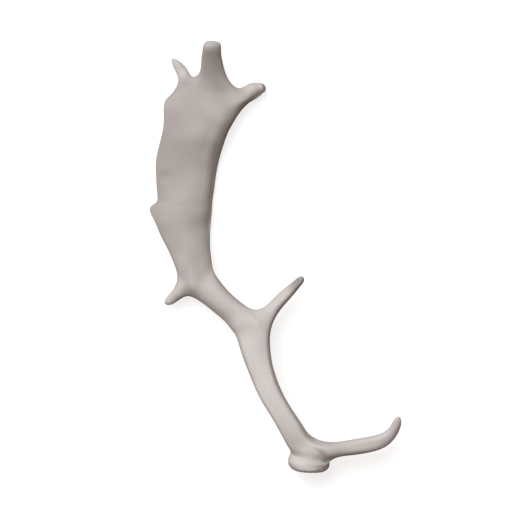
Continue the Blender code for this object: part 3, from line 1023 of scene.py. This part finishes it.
@dataclass
class Antler:
    """The whole antler, grown as one cage and finished as one skin of bone."""

    burr: Burr = field(default_factory=Burr)
    beam: Beam = field(default_factory=Beam)
    palm: Palm = field(default_factory=Palm)
    tines: list[SideTine] = field(default_factory=side_tines)
    points: list[CrownPoint] = field(default_factory=crown_points)
    finish: BoneFinish = BoneFinish()
    cast_finish: CastFaceFinish = CastFaceFinish()
    fit_rounds: int = 4
    facing_gain: float = 1.4        # a relief is full where the face is within 44 degrees of level

    def grow_stem(self, cage: Cage) -> list[Patch]:
        """Grow the burr, the beam and the palm.

        Args:
            cage: The antler's cage.

        Returns:
            The stem's patches, in order.
        """
        sections = self.burr.sections + self.beam.sections + self.palm.sections
        shares = self.burr.palm_shares + self.beam.palm_shares + self.palm.foot_shares
        shares += (1.0,) * (len(sections) - len(shares))
        middles = [section.middle() for section in sections]
        patch = cage.start(sections[0], middles[1] - middles[0], STEM_COLUMNS)
        cage.mark(patch, 0.0, sections[0].thick / 2, shares[0], 0.0)
        stem = [patch]
        distance = 0.0
        for index in range(1, len(sections)):
            after = middles[min(index + 1, len(middles) - 1)]
            along = after - middles[index - 1]
            distance += (middles[index] - middles[index - 1]).length
            patch = cage.grow(patch, sections[index].points(along, STEM_COLUMNS))
            cage.mark(patch, distance, sections[index].half_width(), shares[index], 0.0)
            stem.append(patch)
        end = self.palm.end_points()
        distance += (end[STEM_COLUMNS // 2, 1] - middles[-1]).length
        stem.append(cage.grow(patch, end))
        cage.mark(stem[-1], distance, sections[-1].half_width(), 1.0, 0.0)
        self.burr.fill(stem[0])
        LOG.info("stem: %d sections", len(stem))
        return stem

    def rounded_mesh(self) -> bpy.types.Mesh:
        """Grow the cage and round it.

        Returns:
            The smooth mesh, in millimetres, where the sections were drawn.
        """
        cage = Cage()
        stem = self.grow_stem(cage)
        for limb in (*self.tines, *self.points):
            limb.grow(cage, stem)
        bmesh.ops.recalc_face_normals(cage.mesh, faces=cage.mesh.faces)
        cage.fit(self.fit_rounds)
        mesh = bpy.data.meshes.new("antler_cage")
        cage.mesh.to_mesh(mesh)
        cage.mesh.free()
        holder = bpy.data.objects.new("antler_cage", mesh)
        bpy.context.scene.collection.objects.link(holder)
        rounding = holder.modifiers.new("Round", "SUBSURF")
        rounding.levels = SKIN_LEVELS
        rounding.render_levels = SKIN_LEVELS
        graph = bpy.context.evaluated_depsgraph_get()
        smooth = bpy.data.meshes.new_from_object(
            holder.evaluated_get(graph), preserve_all_data_layers=True, depsgraph=graph
        )
        bpy.data.objects.remove(holder, do_unlink=True)
        bpy.data.meshes.remove(mesh)
        return smooth

    def sculpt(self, mesh: bpy.types.Mesh) -> np.ndarray:
        """Raise the lumps, hollows, flutes and pearls, and flatten the cast face.

        Args:
            mesh: The smooth mesh, in millimetres, which is changed.

        Returns:
            True for each vertex on the cast face.
        """
        points = read_vectors(mesh.vertices, "co")
        normals = read_vectors(mesh.vertices, "normal")
        grain = read_vectors(mesh.attributes["grain"].data, "vector")
        for relief in RELIEFS:
            facing = np.clip(normals[:, 2] * relief.face.value * self.facing_gain, 0.0, 1.0)
            points[:, 2] += relief.lift(points) * facing * relief.face.value
        swell = np.array([soft_noise(point) for point in points])
        flute = np.array([flute_noise(place) for place in grain])
        rim = np.linalg.norm(points - np.array(self.burr.face), axis=1)
        near = np.clip(self.burr.pearl_end - rim / self.burr.pearl_reach, 0.0, 1.0)
        pearls = np.array([pearl_noise(point) for point in points]) * near * self.burr.pearl_height
        points += normals * (swell + flute + pearls)[:, None]
        on_face = self.burr.flatten(points)
        points += np.array(DRAWN_TO_FRAME)
        mesh.vertices.foreach_set("co", (points * MM).astype(np.float32).ravel())
        mesh.update()
        return on_face

    def build(self, groups: dict[str, bpy.types.NodeTree]) -> bpy.types.Object:
        """Build and dress the antler.

        Args:
            groups: The shared node groups.

        Returns:
            The finished piece.
        """
        mesh = self.rounded_mesh()
        mesh.name = "antler_skin"
        on_face = self.sculpt(mesh)
        write_hollows(mesh)
        mesh.shade_smooth()
        mesh.materials.clear()
        mesh.materials.append(self.finish.material(groups))
        mesh.materials.append(self.cast_finish.material(groups))
        for polygon in mesh.polygons:
            polygon.material_index = int(all(on_face[index] for index in polygon.vertices))
        piece = bpy.data.objects.new("antler_skin", mesh)
        bpy.context.scene.collection.objects.link(piece)
        LOG.info("antler_skin: %d faces", len(mesh.polygons))
        return piece


def read_vectors(items: object, name: str) -> np.ndarray:
    """Read a vector of each item of a mesh.

    Args:
        items: The mesh's vertices or an attribute's data.
        name: The name of the vector.

    Returns:
        The vectors, one in a row.
    """
    flat = np.empty(len(items) * 3, dtype=np.float32)
    items.foreach_get(name, flat)
    return flat.reshape(-1, 3).astype(float)


def soft_noise(point: np.ndarray) -> float:
    """Give the gentle unevenness of grown bone at a point, in millimetres."""
    place = Vector(point)
    return sum(height * noise.noise(place / length) for height, length in SWELLS)


def flute_noise(place: np.ndarray) -> float:
    """Give the depth of the shallow flutes that run along a limb, in millimetres."""
    parts = [part / length for part, length in zip(place, FLUTE_LENGTHS)]
    return FLUTE_HEIGHT * noise.noise(Vector(parts))


def pearl_noise(point: np.ndarray) -> float:
    """Give the height of the small pearls around the burr, from -1 to 1."""
    return noise.noise(Vector(point) / PEARL_LENGTH)


def write_hollows(mesh: bpy.types.Mesh) -> None:
    """Store how hollow the skin is at each vertex, from 0 on a rise to 1 in a crease: the mask that
    darkens the bone in its creases, partly as stain and partly as painted shade.

    Args:
        mesh: The finished skin, in metres.
    """
    points = read_vectors(mesh.vertices, "co")
    normals = read_vectors(mesh.vertices, "normal")
    ends = np.empty(len(mesh.edges) * 2, dtype=np.int32)
    mesh.edges.foreach_get("vertices", ends)
    ends = ends.reshape(-1, 2)
    count = np.bincount(ends.ravel(), minlength=len(points))[:, None]
    spread = points.copy()
    for _ in range(HOLLOW_ROUNDS):
        total = np.zeros_like(spread)
        np.add.at(total, ends[:, 0], spread[ends[:, 1]])
        np.add.at(total, ends[:, 1], spread[ends[:, 0]])
        spread = (spread + total / count) / 2
    depth = ((spread - points) * normals).sum(1)
    values = np.clip(depth / HOLLOW_DEPTH, 0.0, 1.0).astype(np.float32)
    attribute = mesh.attributes.new("hollow", "FLOAT", "POINT")
    attribute.data.foreach_set("value", values)


@dataclass
class Studio:
    """The pale floor, the soft light from the upper left, and the camera straight above."""

    image_side: float = PICTURE_PIXELS * MM_PER_PIXEL * MM
    look_at: Place = (-0.02687, 0.0013, 0.02067)
    distance: float = 9.0
    sensor: float = 36.0
    sight: float = 100.0                            # how far the camera sees
    floor_size: float = 40.0
    floor_tone: Colour = (0.42, 0.42, 0.42)
    floor_glow: float = 0.78                        # lifts the floor to near white for the camera
    bounce_tone: Colour = (0.28, 0.205, 0.17)       # the floor as the antler sees it
    backdrop: Colour = (0.93, 0.93, 0.93)
    key_from: Place = (-0.335, 0.515, 0.79)
    key_energy: float = 2.72
    key_angle: float = 50.0
    fill: Colour = (0.193, 0.147, 0.127)

    def add_camera(self) -> None:
        """Add the camera, looking straight down with the crown at the top of the picture."""
        data = bpy.data.cameras.new("camera")
        data.sensor_width = self.sensor
        data.lens = self.sensor * self.distance / self.image_side
        data.clip_end = self.sight
        camera = bpy.data.objects.new("camera", data)
        camera.location = Vector(self.look_at) + Vector((0.0, 0.0, self.distance))
        bpy.context.scene.collection.objects.link(camera)
        bpy.context.scene.camera = camera

    def add_floor(self) -> None:
        """Add the plain pale floor."""
        sheet_mesh = bmesh.new()
        bmesh.ops.create_grid(sheet_mesh, x_segments=1, y_segments=1, size=self.floor_size / 2)
        mesh = bpy.data.meshes.new("floor")
        sheet_mesh.to_mesh(mesh)
        sheet_mesh.free()
        floor = bpy.data.objects.new("floor", mesh)
        bpy.context.scene.collection.objects.link(floor)
        material, sheet, shader = new_material("pale_floor")
        sheet.tree.nodes.remove(shader)
        seen = sheet.add("ShaderNodeLightPath").outputs["Is Camera Ray"]
        pale = sheet.add("ShaderNodeBsdfDiffuse", {"Color": (*self.floor_tone, 1.0)})
        white = (1.0, 1.0, 1.0, 1.0)
        glow = sheet.add("ShaderNodeEmission", {"Color": white, "Strength": self.floor_glow})
        lit = sheet.add("ShaderNodeAddShader", {0: pale.outputs[0], 1: glow.outputs[0]})
        bounce = sheet.add("ShaderNodeBsdfDiffuse", {"Color": (*self.bounce_tone, 1.0)})
        both = sheet.add("ShaderNodeMixShader", {0: seen, 1: bounce.outputs[0], 2: lit.outputs[0]})
        sheet.link(both.outputs[0], sheet.tree.nodes["Material Output"].inputs["Surface"])
        mesh.materials.append(material)

    def add_light(self) -> None:
        """Add the soft key light and the weak warm fill from all around."""
        data = bpy.data.lights.new("key", "SUN")
        data.energy = self.key_energy
        data.angle = radians(self.key_angle)
        key = bpy.data.objects.new("key", data)
        key.rotation_euler = Vector(self.key_from).to_track_quat("Z", "Y").to_euler()
        bpy.context.scene.collection.objects.link(key)
        world = bpy.data.worlds.new("studio")
        world.use_nodes = True
        sheet = NodeSheet(world.node_tree)
        seen = sheet.add("ShaderNodeLightPath").outputs["Is Camera Ray"]
        tone = sheet.blend(seen, self.fill, self.backdrop)
        sheet.link(tone, world.node_tree.nodes["Background"].inputs["Color"])
        bpy.context.scene.world = world

    def build(self) -> None:
        """Set up the studio."""
        self.add_camera()
        self.add_floor()
        self.add_light()
        settings = bpy.context.scene.view_settings
        settings.view_transform = "Standard"
        settings.look = "None"
        LOG.info("studio: camera, floor and light")


def main() -> None:
    """Build the antler's skin and the studio."""
    logging.basicConfig(level=logging.INFO, format="%(name)s: %(message)s")
    groups = {"grain": bone_grain_group(), "mottle": bone_mottle_group()}
    Studio().build()
    skin = Antler().build(groups)
    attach(skin, "root")
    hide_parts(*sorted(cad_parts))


if __name__ == "__main__":
    main()
